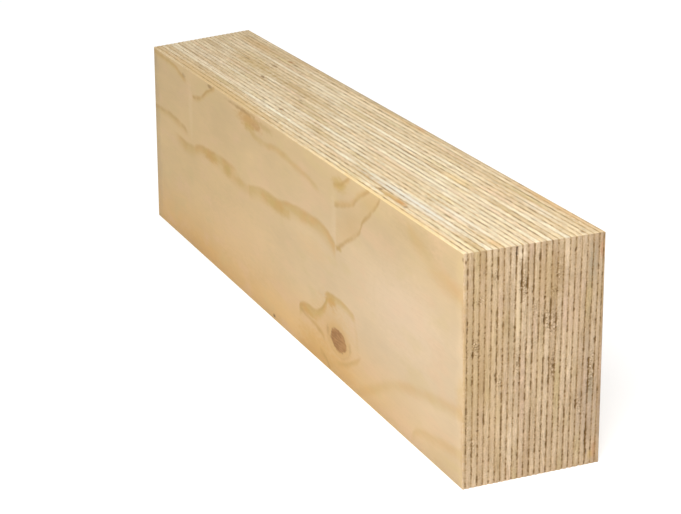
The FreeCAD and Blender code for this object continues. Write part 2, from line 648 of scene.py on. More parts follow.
class Palette:
    """Adds nodes to one material, wires them and keeps the colour that is painted so far."""

    stain_and_light_core: float = 0.15
    bump_strength: float = 0.8

    def __init__(self, name: str) -> None:
        """Makes a material whose one shader feeds its surface.

        Args:
            name: The material's name.
        """
        self.material = bpy.data.materials.new(name)
        self.material.use_nodes = True
        self.tree = self.material.node_tree
        self.tree.nodes.clear()
        self.shader = self.add("ShaderNodeBsdfPrincipled")
        output = self.add("ShaderNodeOutputMaterial")
        self.tree.links.new(self.shader.outputs[0], output.inputs[0])
        apart = self.add("ShaderNodeSeparateXYZ", self.add("ShaderNodeTexCoord").outputs["Object"])
        self.x, self.y, self.z = (self.times(part, 1 / MM) for part in apart.outputs)
        self.colour: Input = (0.0, 0.0, 0.0)

    def add(self, kind: str, *values: Input, **settings: object) -> bpy.types.Node:
        """Adds a node.

        Args:
            kind: The node's type.
            values: What its first sockets get, in order.
            settings: Its properties.

        Returns:
            The node.
        """
        node = self.tree.nodes.new(kind)
        for key, value in settings.items():
            setattr(node, key, value)
        for socket, value in zip(node.inputs, values):
            self.feed(socket, value)
        return node

    def feed(self, socket: bpy.types.NodeSocket, value: Input) -> None:
        """Links a socket to another one, or sets its own value.

        Args:
            socket: The socket.
            value: The other socket, or the value.
        """
        if isinstance(value, bpy.types.NodeSocket):
            self.tree.links.new(value, socket)
        else:
            socket.default_value = value

    def math(self, operation: str, *values: Input, clamp: bool = False) -> bpy.types.NodeSocket:
        """Adds a Math node, whose result can be kept from 0 to 1."""
        return self.add("ShaderNodeMath", *values, operation=operation, use_clamp=clamp).outputs[0]

    def times(self, *values: Input) -> Input:
        """Multiplies the values."""
        return reduce(partial(self.math, "MULTIPLY"), values)

    def plus(self, *values: Input) -> Input:
        """Adds the values."""
        return reduce(partial(self.math, "ADD"), values)

    def remap(
        self, value: Input, low: float, high: float, start: Input = 0.0, end: Input = 1.0, smooth: bool = True
    ) -> bpy.types.NodeSocket:
        """Carries a value from one range into another, and stops at both ends.

        Args:
            value: The value.
            low: Where the result is start.
            high: Where the result is end.
            start: The result at low.
            end: The result at high.
            smooth: Whether it goes by 3t² - 2t³ or in a straight line.

        Returns:
            The result.
        """
        kind = "SMOOTHSTEP" if smooth else "LINEAR"
        node = self.add("ShaderNodeMapRange", value, low, high, start, end, interpolation_type=kind)
        return node.outputs[0]

    def place(self, x: Input, y: Input = 0.0, z: Input = 0.0) -> bpy.types.NodeSocket:
        """Joins three numbers into a vector."""
        return self.add("ShaderNodeCombineXYZ", x, y, z).outputs[0]

    def scaled(self, value: Input, size: float, shift: float = 0.0) -> bpy.types.NodeSocket:
        """Divides a length by the size of a pattern, and shifts it."""
        return self.math("MULTIPLY_ADD", value, 1.0 / size, shift)

    def noise(self, vector: Input, detail: float = 2.0, roughness: float = 0.5) -> bpy.types.NodeSocket:
        """Adds noise with features about one unit of its vector across.

        Args:
            vector: The place.
            detail: How many finer layers are added.
            roughness: How strong the finer layers are.

        Returns:
            Noise round 0.5.
        """
        node = self.add("ShaderNodeTexNoise", vector, noise_dimensions="3D")
        for name, value in (("Scale", 1.0), ("Detail", detail), ("Roughness", roughness)):
            self.feed(node.inputs[name], value)
        return node.outputs[0]

    def chance(self, value: Input) -> bpy.types.NodeSocket:
        """Gives a number that looks random for each value.

        Args:
            value: The value.

        Returns:
            The number, from 0 to 1.
        """
        node = self.add("ShaderNodeTexWhiteNoise", noise_dimensions="1D")
        self.feed(node.inputs["W"], value)
        return node.outputs["Value"]

    def mix(self, share: Input, first: Input, second: Input) -> bpy.types.NodeSocket:
        """Mixes two colours, each a socket or a tone.

        Args:
            share: How much of the second colour there is.
            first: The first colour.
            second: The second colour.

        Returns:
            The mixed colour.
        """
        node = self.add("ShaderNodeMix", share, data_type="RGBA", clamp_factor=True)
        for socket, colour in ((node.inputs[6], first), (node.inputs[7], second)):
            self.feed(socket, colour if isinstance(colour, bpy.types.NodeSocket) else linear(*colour))
        return node.outputs[2]

    def tint(self, share: Input, tone: Input) -> None:
        """Mixes this share of a tone into the colour."""
        self.colour = self.mix(share, self.colour, tone)

    def brighten(self, factor: Input) -> None:
        """Multiplies the colour by a factor that varies over the surface.

        Args:
            factor: The factor.
        """
        node = self.add("ShaderNodeVectorMath", self.colour, operation="SCALE")
        self.feed(node.inputs["Scale"], factor)
        self.colour = node.outputs[0]

    def curve(self, value: Input, route: Route) -> bpy.types.NodeSocket:
        """Follows a smooth curve through given points.

        Args:
            value: The value along the curve's first axis.
            route: The curve's points, with the first numbers rising.

        Returns:
            The curve's second number at each value.
        """
        points = np.array(route, dtype=float)
        start, end = points[0, 0], points[-1, 0]
        low, high = points[:, 1].min() - 0.1, points[:, 1].max() + 0.1
        node = self.add("ShaderNodeFloatCurve")
        knots = node.mapping.curves[0].points
        along, up = (points[:, 0] - start) / (end - start), (points[:, 1] - low) / (high - low)
        places = np.column_stack([along, up])
        for knot, place in zip(knots, (places[0], places[-1])):
            knot.location = place
        for place in places[1:-1]:
            knots.new(*place)
        node.mapping.update()
        self.feed(node.inputs["Value"], self.remap(value, start, end, smooth=False))
        return self.remap(node.outputs[0], 0.0, 1.0, low, high, smooth=False)

    def attribute(self, name: str) -> bpy.types.NodeSocket:
        """Reads one of the skin's own numbers."""
        return self.add("ShaderNodeAttribute", attribute_name=name).outputs["Fac"]

    def radius(
        self, x: Input, z: Input, middle: tuple[float, float], half: tuple[float, float]
    ) -> bpy.types.NodeSocket:
        """Gives the distance from an oval's middle, counted in its half width and half height.

        Args:
            x: The first place.
            z: The second place.
            middle: The oval's middle.
            half: Its half width and half height.

        Returns:
            The radius, 1 on the oval.
        """
        across = self.scaled(self.math("SUBTRACT", x, middle[0]), half[0])
        up = self.scaled(self.math("SUBTRACT", z, middle[1]), half[1])
        return self.add("ShaderNodeVectorMath", self.place(across, up), operation="LENGTH").outputs["Value"]

    def spots(self, stains_and_light: tuple[StainAndLightSpot, ...], x: Input, z: Input) -> None:
        """Lays stains, and a few spots of painted highlight and painted shade, over the colour, with ragged
        edges from one shared noise.

        Args:
            stains_and_light: The stains and the painted light spots.
            x: The first place, in millimetres.
            z: The second place, in millimetres.
        """
        ragged = self.noise(self.place(self.scaled(x, 5.0), self.scaled(z, 2.2), 3.0), 2.0, 0.6)
        ragged = self.math("SUBTRACT", ragged, 0.5)
        for stain_and_light in stains_and_light:
            radius = self.plus(self.radius(x, z, stain_and_light.middle, stain_and_light.half), ragged)
            self.tint(self.remap(radius, self.stain_and_light_core, 1.0, stain_and_light.strength, 0.0), stain_and_light.tone)

    def finished(self, specular: float, roughness: Input, height: Input, reach: float) -> bpy.types.Material:
        """Feeds the shader, and bends its normal by a height.

        Args:
            specular: The strength of the highlights.
            roughness: The roughness.
            height: The height, from 0 to 1.
            reach: The size of a height of 1, in metres.

        Returns:
            The material.
        """
        bump = self.add("ShaderNodeBump")
        for socket, value in (
            (bump.inputs["Height"], height),
            (bump.inputs["Distance"], reach),
            (bump.inputs["Strength"], self.bump_strength),
            (self.shader.inputs["Normal"], bump.outputs[0]),
            (self.shader.inputs["Base Color"], self.colour),
            (self.shader.inputs["Roughness"], roughness),
            (self.shader.inputs["Specular IOR Level"], specular),
        ):
            self.feed(socket, value)
        return self.material


@dataclass(frozen=True)
class StainAndLightSpot:
    """A soft-edged oval of another tone on a face, in millimetres: mostly a stain, and in a few places a
    painted highlight and painted shade.
    """

    middle: tuple[float, float]
    half: tuple[float, float]
    strength: float
    tone: Tone


@dataclass(frozen=True)
class RingLine:
    """A growth ring where the peeled face cuts it: a thin line with a soft band on one side.

    The route's points are in millimetres, x and z, and are given one by one. The
    fade is the band's width, on the lower side if it is positive and on the
    upper side if it is negative. The edge is how softly the band stops.
    """

    route: Route
    line: float = 0.35
    band: float = 0.6
    fade: float = 6.0
    thickness: float = 2.0
    end_fade: float = 9.0
    edge: float = 2.0
    heading: Heading = Heading.ALONG

    def draw(self, p: Palette, z: Input) -> tuple[Input, Input]:
        """Adds the line's nodes.

        A curve gives the line's place. The distance from it makes a narrow peak
        for the line, and a ramp that stops at the line for the band.

        Args:
            p: The material.
            z: The wandering height, in millimetres.

        Returns:
            How strong the band and the line are.
        """
        along, up = (p.x, z) if self.heading is Heading.ALONG else (z, p.x)
        start, end = self.route[0][0], self.route[-1][0]
        off = p.math("SUBTRACT", up, p.curve(along, self.route))
        if self.fade < 0:
            off = p.times(off, -1.0)
        width = abs(self.fade)
        ramp = p.remap(off, -1.15 * width, -0.2 * width)
        stop = p.remap(off, -0.15 * self.edge, self.edge, 1.0, 0.0)
        peak = p.remap(p.math("ABSOLUTE", off), 0.0, self.thickness, 1.0, 0.0)
        fade_in = p.remap(along, start, start + self.end_fade)
        shown = p.times(fade_in, p.remap(along, end - self.end_fade, end, 1.0, 0.0))
        return p.times(ramp, stop, shown, self.band), p.times(peak, shown, self.line)


@dataclass(frozen=True)
class PeeledVeneer:
    """A rotary-peeled softwood face: pale wood with a few wandering growth-ring lines."""

    name: str
    ring_lines: tuple[RingLine, ...]
    stains_and_light: tuple[StainAndLightSpot, ...]
    knot: tuple[tuple[float, float], tuple[float, float]] | None = None
    seed: float = 0.0
    far_tone: Tone = (222, 191, 140)
    near_tone: Tone = (221, 195, 158)
    low_tone: Tone = (224, 183, 122)
    high_tone: Tone = (213, 184, 137)
    blush: Tone = (228, 190, 152)
    moss: Tone = (212, 188, 134)
    amber: Tone = (207, 163, 95)
    olive: Tone = (200, 166, 92)
    line_tone: Tone = (184, 142, 80)
    knot_tone: Tone = (184, 138, 86)
    knot_rim: Tone = (160, 115, 68)

    def make(self) -> bpy.types.Material:
        """Builds the material.

        Returns:
            The finished material.
        """
        p = Palette(self.name)
        drift = self.cloud(p, (42.0, 17.0), self.seed, roughness=0.45)
        tremble = self.cloud(p, (9.0, 4.0), 3.0)
        bend = p.math("MULTIPLY_ADD", drift, 3.0, -1.5)
        z = p.plus(p.z, p.math("MULTIPLY_ADD", tremble, 2.0, p.math("SUBTRACT", bend, 1.0)))
        self.wood(p, z)
        p.spots(self.stains_and_light, p.x, p.z)
        bands = self.figure(p, z)
        if self.knot:
            self.knotted(p)
        fibre = self.fibres(p)
        roughness = p.math("MULTIPLY_ADD", fibre, 0.18, 0.46)
        return p.finished(0.25, roughness, p.plus(p.times(bands, 0.6), fibre), 0.07 * MM)

    def cloud(
        self,
        p: Palette,
        size: tuple[float, float],
        layer: float,
        shift: float = 0.0,
        detail: float = 2.0,
        roughness: float = 0.5,
    ) -> bpy.types.NodeSocket:
        """Adds noise stretched along the grain.

        Args:
            p: The material.
            size: Its length and height, in millimetres.
            layer: Its own place in the third direction.
            shift: How far it is moved along the grain.
            detail: How many finer layers are added.
            roughness: How strong the finer layers are.

        Returns:
            Noise round 0.5.
        """
        along = p.scaled(p.x, size[0], self.seed + shift)
        return p.noise(p.place(along, layer, p.scaled(p.z, size[1])), detail, roughness)

    def wood(self, p: Palette, z: Input) -> None:
        """Lays the ground tones: paler near the square end, warmer low down and duller high up.

        Args:
            p: The material.
            z: The wandering height, in millimetres.
        """
        p.colour = self.far_tone
        p.tint(p.remap(p.x, -120.0, 205.0), self.near_tone)
        p.tint(p.remap(z, 66.0, 116.0, 0.0, 0.85), self.high_tone)
        p.tint(p.times(p.remap(z, 44.0, 0.0), p.remap(p.x, 230.0, 90.0, 0.25, 0.9)), self.low_tone)
        cloud = self.cloud(p, (60.0, 22.0), 1.0, detail=3.0, roughness=0.55)
        p.brighten(p.remap(cloud, 0.25, 0.75, 0.93, 1.06, smooth=False))
        cloud = self.cloud(p, (34.0, 15.0), 4.0, shift=3.0)
        p.tint(p.remap(cloud, 0.50, 0.70, 0.0, 0.35), self.blush)
        p.tint(p.remap(cloud, 0.46, 0.30, 0.0, 0.35), self.moss)

    def figure(self, p: Palette, z: Input) -> Input:
        """Draws the growth-ring lines.

        Args:
            p: The material.
            z: The wandering height, in millimetres.

        Returns:
            The strength of the bands.
        """
        bands: Input = 0.0
        lines: Input = 0.0
        for ring in self.ring_lines:
            band, line = ring.draw(p, z)
            bands = p.math("MAXIMUM", bands, band)
            lines = p.math("MAXIMUM", lines, line)
        patchy = self.cloud(p, (20.0, 12.0), 0.0, shift=5.0)
        bands = p.math("MULTIPLY", bands, p.remap(patchy, 0.3, 0.68, 0.55, 0.9), clamp=True)
        p.tint(bands, p.mix(p.remap(patchy, 0.42, 0.58), self.olive, self.amber))
        broken = self.cloud(p, (11.0, 11.0), 2.0, shift=9.0)
        lines = p.math("MULTIPLY", lines, p.remap(broken, 0.32, 0.62, 0.15, 0.8), clamp=True)
        p.tint(lines, self.line_tone)
        return bands

    def knotted(self, p: Palette) -> None:
        """Draws the knot: a brown oval with a dark broken rim and faint rings below it.

        Args:
            p: The material.
        """
        wander = self.cloud(p, (6.0, 5.0), 7.0, roughness=0.55)
        radius = p.plus(p.radius(p.x, p.z, *self.knot), p.math("MULTIPLY_ADD", wander, 0.5, -0.25))
        p.tint(p.remap(radius, 1.0, 1.9, 0.4, 0.0), self.amber)
        rings = p.times(p.math("SINE", p.times(radius, 14.0)), p.remap(p.z, 25.0, 15.0))
        p.tint(p.times(p.remap(rings, 0.0, 1.0), p.remap(radius, 1.1, 1.8, 0.3, 0.0)), self.line_tone)
        speckle = self.cloud(p, (7.0, 1.3), 4.0)
        paler = p.plus(p.remap(p.x, 84.0, 104.0, -0.12, 0.12), speckle)
        heart = p.mix(p.remap(paler, 0.34, 0.66), self.knot_rim, self.knot_tone)
        p.tint(p.remap(radius, 1.06, 0.88), heart)
        rim = p.remap(p.math("ABSOLUTE", p.math("SUBTRACT", radius, 0.96)), 0.14, 0.0)
        p.tint(p.times(rim, p.remap(speckle, 0.35, 0.6, 0.6, 0.15)), self.knot_rim)

    def fibres(self, p: Palette) -> bpy.types.NodeSocket:
        """Adds the fine grain: long faint fibres and short dark flecks.

        Args:
            p: The material.

        Returns:
            The fibres' noise.
        """
        fibre = self.cloud(p, (16.0, 0.7), 0.0, detail=3.0, roughness=0.6)
        p.brighten(p.remap(fibre, 0.25, 0.75, 0.965, 1.035, smooth=False))
        fleck = self.cloud(p, (5.0, 0.4), 6.0, detail=1.0)
        p.tint(p.remap(fleck, 0.66, 0.80, 0.0, 0.22), self.line_tone)
        return fibre


class SawnPalette(Palette):
    """A material of the sawn sides, which reads the way along the veneers and their count."""

    def __init__(self, name: str, along_grain: bool) -> None:
        """Starts the material.

        Args:
            name: The material's name.
            along_grain: Whether the veneers run along x, as on the edges, or up z, as on the ends.
        """
        super().__init__(name)
        self.run = self.x if along_grain else self.z
        self.lay = self.attribute("lay")
        self.veneer = self.math("FLOOR", self.lay)
        self.across = (self.x, self.y) if along_grain else (self.y, self.z)

    def streak(
        self, length: float, across: Input, layer: Input, detail: float = 2.0, roughness: float = 0.5
    ) -> bpy.types.NodeSocket:
        """Adds noise stretched along the run.

        Args:
            length: Its length, in millimetres.
            across: The place in the second direction.
            layer: The place in the third direction.
            detail: How many finer layers are added.
            roughness: How strong the finer layers are.

        Returns:
            Noise round 0.5.
        """
        return self.noise(self.place(self.scaled(self.run, length), across, layer), detail, roughness)

    def near_half(self, value: Input, width: float) -> bpy.types.NodeSocket:
        """Gives a thin line: 1 where a value is 0.5, and 0 at this width from it."""
        return self.remap(self.math("ABSOLUTE", self.math("SUBTRACT", value, 0.5)), 0.0, width, 1.0, 0.0)

    def vary(self, value: Input, darker: float, lighter: float) -> None:
        """Darkens and brightens the colour by up to these shares where noise is low and high."""
        self.brighten(self.remap(value, 0.3, 0.7, 1.0 - darker, 1.0 + lighter, smooth=False))


@dataclass(frozen=True)
class SawnVeneers:
    """Sawn sides of the 25 veneers: a tone of its own for each, and brown glue lines between them.

    Lengths are in millimetres. The tone route adds to the veneers' tone by their
    place in the lay-up. The bead is how much glue shows in its gaps and dashes,
    and the painted light fall is painted light: how bright the side is painted
    at the far and at the square end. The values given here are those of the edges.
    """

    name: str
    along_grain: bool = True
    stains_and_light: tuple[StainAndLightSpot, ...] = ()
    pale: Tone = (255, 245, 218)
    middle: Tone = (240, 218, 179)
    dark: Tone = (212, 184, 138)
    ring: Tone = (192, 154, 98)
    glue: Tone = (184, 144, 86)
    glue_dark: Tone = (144, 108, 60)
    tear: Tone = (134, 98, 56)
    blush: Tone = (242, 210, 174)
    moss: Tone = (222, 200, 146)
    tone_route: Route = (
        (0, 0.0), (3, 0.0), (5, 0.15), (7, 0.0), (11, 0.18), (15, 0.05), (20, -0.05), (24, -0.15), (25, 0.0),
    )
    dash_length: float = 7.0
    crack_length: float = 3.2
    streak_length: float = 30.0
    tone_length: float = 70.0
    fine_length: float = 5.0
    strip_length: float = 16.0
    glue_width: float = 0.31
    glue_strength: float = 0.90
    ring_strength: float = 0.65
    fine_strength: float = 0.19
    speckle_strength: float = 0.18
    strip_strength: float = 0.17
    waver: float = 1.0
    bead: tuple[float, float] = (0.28, 1.0)
    painted_light_fall: tuple[float, float] = (1.04, 1.13)
    far_flat: float = 0.32

    def make(self) -> bpy.types.Material:
        """Builds the material.

        Returns:
            The finished material.
        """
        p = SawnPalette(self.name, self.along_grain)
        self.veneer_tones(p)
        self.strips(p)
        streak = self.rings(p)
        p.spots(self.stains_and_light, *p.across)
        glue = self.glue_lines(p)
        self.torn_marks(p)
        p.tint(p.remap(p.attribute("torn"), 0.15, 0.95, 0.0, 0.85), self.tear)
        # Painted light: the side is painted brighter towards the square end and darker towards the far end.
        p.brighten(p.remap(p.x, -230.0, 240.0, *self.painted_light_fall, smooth=False))
        height = p.math("SUBTRACT", streak, p.times(glue, 0.6))
        return p.finished(0.2, p.math("MULTIPLY_ADD", streak, 0.2, 0.62), height, 0.12 * MM)

    def veneer_tones(self, p: SawnPalette) -> None:
        """Gives each veneer its own tone, which drifts along the run, under broad clouds of tint.

        The tones draw together towards the far end.

        Args:
            p: The material.
        """
        own = p.times(p.chance(p.plus(p.veneer, 0.37)), 0.40)
        drift = p.streak(self.tone_length, p.times(p.veneer, 5.3), 0.0, roughness=0.55)
        broad = p.streak(self.tone_length * 1.3, p.scaled(p.lay, 4.5), 4.0)
        tone = p.plus(
            own,
            p.remap(drift, 0.28, 0.72, 0.0, 0.55, smooth=False),
            p.remap(broad, 0.3, 0.7, -0.2, 0.2, smooth=False),
            p.curve(p.lay, self.tone_route),
        )
        flat = p.remap(p.x, 120.0, -160.0, 0.0, self.far_flat)
        tone = p.plus(tone, p.times(flat, p.math("SUBTRACT", 0.40, tone)))
        p.colour = self.dark
        p.tint(p.remap(tone, 0.0, 0.45, smooth=False), self.middle)
        p.tint(p.remap(tone, 0.45, 0.95, smooth=False), self.pale)
        layer = p.math("MULTIPLY_ADD", p.veneer, 0.55, p.scaled(p.lay, 6.0))
        cloud = p.streak(self.tone_length, layer, 9.0)
        p.tint(p.remap(cloud, 0.54, 0.72, 0.0, 0.6), self.blush)
        p.tint(p.remap(cloud, 0.46, 0.28, 0.0, 0.6), self.moss)

    def strips(self, p: SawnPalette) -> None:
        """Splits each veneer into thin strips, each with its own tone, and hairlines between some of them.

        A strip is a third of a veneer, and its edges wander a little. Its tone
        is noise along the run. A hairline lies where the place is close to a
        strip's edge, and fades in and out.

        Args:
            p: The material.
        """
        wander = p.streak(self.strip_length * 1.5, p.times(p.lay, 0.8), 8.0, roughness=0.6)
        place = p.math("MULTIPLY_ADD", p.lay, 3.3, p.times(wander, 1.6))
        strip = p.math("FLOOR", place)
        tone = p.streak(self.strip_length, p.times(strip, 3.9), 6.0, 3.0, 0.7)
        p.vary(tone, self.strip_strength, 0.9 * self.strip_strength)
        edge = p.math("ABSOLUTE", p.math("SUBTRACT", p.math("SUBTRACT", place, strip), 0.5))
        shown = p.streak(self.strip_length * 0.5, p.times(strip, 5.7), 2.0, roughness=0.6)
        hair = p.times(p.remap(edge, 0.30, 0.46), p.remap(shown, 0.48, 0.66, 0.0, self.ring_strength))
        p.tint(hair, self.ring)

    def rings(self, p: SawnPalette) -> bpy.types.NodeSocket:
        """Draws the growth rings that the saw cut: thin brown lines along the run in each veneer.

        The lines lie where long stretched noise is close to 0.5. A second noise
        fades them in and out. Fine streaks and a speckle lie over them.

        Args:
            p: The material.

        Returns:
            The fine streaks' noise.
        """
        own = p.times(p.veneer, 2.7)
        line = p.near_half(p.streak(self.streak_length, p.times(p.lay, 2.6), own, roughness=0.6), 0.045)
        fade = p.streak(self.streak_length * 0.7, p.times(p.veneer, 3.3), 5.0)
        p.tint(p.times(line, p.remap(fade, 0.38, 0.62, 0.1, 0.7), self.ring_strength), self.ring)
        fine = p.streak(self.fine_length, p.times(p.lay, 6.5), own, roughness=0.7)
        p.vary(fine, self.fine_strength, 0.8 * self.fine_strength)
        speckle = p.noise(p.place(p.scaled(p.x, 0.8), p.scaled(p.y, 0.4), p.scaled(p.z, 0.6)), 2.0, 0.7)
        p.vary(speckle, self.speckle_strength, 0.6 * self.speckle_strength)
        return fine

    def torn_marks(self, p: SawnPalette) -> None:
        """Draws short crooked cracks, with pale lifted fibres beside them, in the torn patches.

        The cracks lie where fine noise is close to 0.5, and the fibres where it is high.

        Args:
            p: The material.
        """
        fine = p.streak(self.crack_length, p.times(p.lay, 2.0), 7.0, 1.0)
        spread = p.streak(self.dash_length * 6.0, p.times(p.lay, 0.6), 3.0, 1.0)
        where = p.plus(p.attribute("patch"), p.math("MULTIPLY_ADD", spread, 1.6, -0.8))
        p.tint(p.times(p.near_half(fine, 0.06), p.remap(where, 0.15, 0.75, 0.0, 0.85)), self.glue_dark)
        p.tint(p.times(p.remap(fine, 0.57, 0.70), p.remap(where, 0.1, 0.7, 0.0, 0.5)), self.pale)

    def glue_lines(self, p: SawnPalette) -> bpy.types.NodeSocket:
        """Draws the glue lines, which waver, swell and break into darker dashes.

        Args:
            p: The material.

        Returns:
            How much glue shows, from 0 to 1.
        """
        line = p.math("ROUND", p.lay)
        own = p.times(line, 7.7)
        waver = p.streak(self.dash_length * 0.7, own, 4.0, 3.0, 0.75)
        waver = p.math("MULTIPLY_ADD", waver, self.waver, -0.5 * self.waver)
        off = p.math("ABSOLUTE", p.math("MULTIPLY_ADD", p.math("SUBTRACT", p.lay, line), 3.14, waver))
        swell = p.streak(self.dash_length, own, 9.0, roughness=0.6)
        width = p.remap(swell, 0.3, 0.7, 0.35 * self.glue_width, 1.5 * self.glue_width, smooth=False)
        core = p.remap(p.math("SUBTRACT", off, width), 0.20, -0.14)
        slow = p.streak(self.dash_length * 8.0, own, 2.0, 1.0)
        dash = p.streak(self.dash_length, own, 1.0, 3.0, 0.65)
        dash = p.plus(dash, p.math("MULTIPLY_ADD", slow, 0.5, -0.25))
        shown = p.times(core, p.remap(dash, 0.38, 0.60, *self.bead))
        p.tint(p.remap(off, 0.9, 0.1, 0.0, 0.30), self.ring)
        strength = p.remap(p.x, 60.0, -170.0, self.glue_strength, self.glue_strength * (1.0 - self.far_flat))
        tone = p.mix(p.remap(dash, 0.48, 0.64), self.glue, self.glue_dark)
        p.tint(p.times(shown, strength), tone)
        return shown


LEFT_FACE_LINES = (
    RingLine(
        ((-232, 80), (-205, 80.5), (-190, 81.5), (-178, 81), (-165, 79.5), (-157, 78), (-150, 75.5)),
        line=0.45, band=0.5, fade=5.0, thickness=2.6,
    ),
    RingLine(
        (
            (-185, 70), (-170, 70), (-158, 68.5), (-148, 69), (-136, 71.8), (-127, 74.2), (-118, 75),
            (-100, 75.8), (-85, 76.8), (-70, 76.5), (-54, 75),
        ),
        line=0.25, band=0.75, fade=7.5, thickness=2.6, end_fade=24.0, edge=2.6,
    ),
    RingLine(
        ((-122, 72), (-100, 73.5), (-80, 72.6), (-60, 71.6), (-40, 71.5), (-26, 73), (-10, 75)),
        line=0.1, band=0.42, fade=7.0, thickness=2.6, end_fade=16.0, edge=2.6,
    ),
    RingLine(
        (
            (-44, 72), (-31, 74), (-22, 76), (5, 77), (20, 79), (42, 81.5), (60, 82.5), (77, 81),
            (87, 78), (93, 74.8),
        ),
        line=0.22, band=0.78, fade=9.0, end_fade=4.0, thickness=2.6, edge=2.6,
    ),
    RingLine(
        (
            (91, 74.2), (98, 77.6), (109, 84.4), (118, 89.2), (124, 93), (127.5, 99), (138, 107),
            (146, 114), (152, 121),
        ),
        line=0.75, band=0.34, fade=-24.0, end_fade=3.0, thickness=2.8,
    ),
    RingLine(
        ((-142, 104.3), (-130, 105.5), (-122, 108.5), (-112, 113.5), (-102, 118), (-96, 121)),
        line=0.75, band=0.5, fade=3.5, end_fade=3.0, thickness=1.9,
    ),
    RingLine(
        ((-232, 117.8), (-190, 117.3), (-174, 116.2), (-163, 113.8), (-150, 112)),
        line=0.45, band=0.6, fade=3.5,
    ),
    RingLine(
        ((-40, 109), (-25, 106.5), (-10, 106), (0, 107.4), (18, 107.2), (40, 105.5), (58, 103.5), (72, 101)),
        line=0.2, band=0.5, fade=3.5, thickness=2.6, edge=2.6,
    ),
    RingLine(
        ((89, 98.3), (105, 102.5), (115, 106), (122, 111), (130, 115.5), (140, 121)),
        line=0.6, band=0.5, fade=-4.0, end_fade=4.0, thickness=2.4,
    ),
    RingLine(((88, 111), (98, 112.5), (107, 117), (114, 121)), line=0.5, band=0.5, fade=4.0, end_fade=4.0),
    RingLine(
        ((36, 22.6), (42, 25.6), (50, 27.6), (58, 27.4), (66, 30), (72, 34), (76.5, 39), (80, 45)),
        line=0.45, band=1.0, fade=6.5, end_fade=2.0, thickness=2.4,
    ),
    RingLine(
        ((36, 23.8), (46, 21.2), (56, 20), (66, 18.6), (76, 15.5)),
        line=0.5, band=0.6, fade=-3.0, end_fade=4.0,
    ),
    RingLine(((66, 9), (73, 7), (79, 3.5), (84, -2)), line=0.4, band=0.6, fade=3.0, end_fade=3.0),
    RingLine(
        ((75, 42.5), (81, 45.4), (90, 46.2), (100, 46.4), (108, 45.4), (119, 42)),
        line=0.2, band=0.85, fade=4.5, end_fade=6.0,
    ),
    RingLine(
        ((88, 9.5), (100, 11), (110, 14.5), (118, 19), (126, 24)),
        line=0.3, band=0.5, fade=3.0, end_fade=7.0,
    ),
    RingLine(
        ((18, 122), (26, 121), (34, 119.5), (44, 114)),
        line=0.0, band=0.18, fade=4.5, end_fade=8.0, heading=Heading.UPWARDS,
    ),
    RingLine(
        ((116, 2), (142, 13.5), (160, 21.8), (180, 29), (200, 33), (225, 37), (250, 40.5)),
        line=0.06, band=0.42, fade=5.5, thickness=4.0, edge=4.5,
    ),
    RingLine(
        ((186, -3), (190, 7), (198, 11.5), (212, 14), (250, 18.5)),
        line=0.08, band=0.42, fade=5.0, end_fade=5.0, edge=3.5,
    ),
    RingLine(((180, 116), (202, 108.5), (220, 104), (250, 98)), line=0.0, band=0.35, fade=9.0, edge=6.0),
)

AMBER = (212, 160, 96)
GOLD = (205, 160, 88)
OLIVE = (198, 164, 90)
DUSK = (132, 96, 58)
CREAM = (250, 236, 206)
ASH = (176, 160, 134)


def stains_and_light_from(*rows: tuple[float | Tone, ...]) -> tuple[StainAndLightSpot, ...]:
    """Makes stains and painted light spots from rows: the middle, the half width and height, the strength and
    the tone.
    """
    return tuple(StainAndLightSpot(row[:2], row[2:4], *row[4:]) for row in rows)


LEFT_FACE_STAINS_AND_SHADE = stains_and_light_from(
    (-38, 113.6, 28, 7, 0.9, (200, 158, 98)), (-38, 109.5, 16, 4, 0.55, OLIVE),
    (-14, 115.5, 24, 3.5, 0.5, (190, 160, 104)), (-50, 117.4, 34, 1.8, 0.55, (164, 126, 74)),
    (-27, 112.6, 12, 3.4, 0.6, (192, 150, 96)), (98, 112, 14, 6, 0.6, OLIVE),
    (-107, 118.2, 6, 1.8, 0.7, (150, 116, 66)), (-158, 114, 5, 2, 0.35, DUSK),
    (-110, 72.6, 20, 4.8, 0.75, GOLD), (-79, 71.8, 11, 6, 0.6, OLIVE), (-58, 71, 14, 4.5, 0.3, GOLD),
    (4, 73, 30, 5.5, 0.6, OLIVE), (42, 78.5, 30, 4, 0.3, OLIVE), (58, 64, 34, 9, 0.3, (226, 188, 134)),
    (96, 75.8, 6, 1.9, 0.6, (192, 158, 84)), (63, 6, 38, 15, 0.55, (214, 166, 92)),
    (96, 6, 34, 9, 0.35, (218, 170, 98)), (86, 26, 38, 24, 0.45, (216, 174, 112)),
    (48, 0, 24, 6, 0.5, (214, 170, 102)), (84, 41.8, 11, 5.6, 0.8, (206, 158, 84)),
    # The rows at (79, 23.5) and (109.5, 22.5) are painted shade: dark spots at the knot's two sides.
    (50, 24.2, 14, 2.8, 0.7, (206, 158, 84)), (79, 23.5, 2.8, 4, 0.45, (172, 130, 82)),
    (109.5, 22.5, 2.4, 4, 0.35, (176, 138, 88)), (-125, 6, 60, 10, 0.35, (214, 166, 96)),
    (-60, 36, 95, 30, 0.45, (234, 198, 150)), (228, 99, 30, 8, 0.3, (214, 174, 120)),
    (192, 113, 40, 10, 0.6, (200, 172, 126)), (244.5, 116.5, 1.6, 1.8, 0.85, DUSK),
    (245.5, 88, 4, 26, 0.4, (190, 150, 108)), (245.5, 22, 4, 26, 0.4, (190, 150, 108)),
    (243, 45, 8, 18, 0.25, GOLD), (222, 6, 34, 10, 0.3, (206, 180, 124)), (-4, 2.6, 3, 1.6, 0.9, DUSK),
    (-146, 94, 6, 26, 0.16, (240, 216, 178)), (90, 94, 6, 20, 0.16, (240, 216, 178)),
    (178, 66, 60, 30, 0.28, (240, 212, 184)),
)

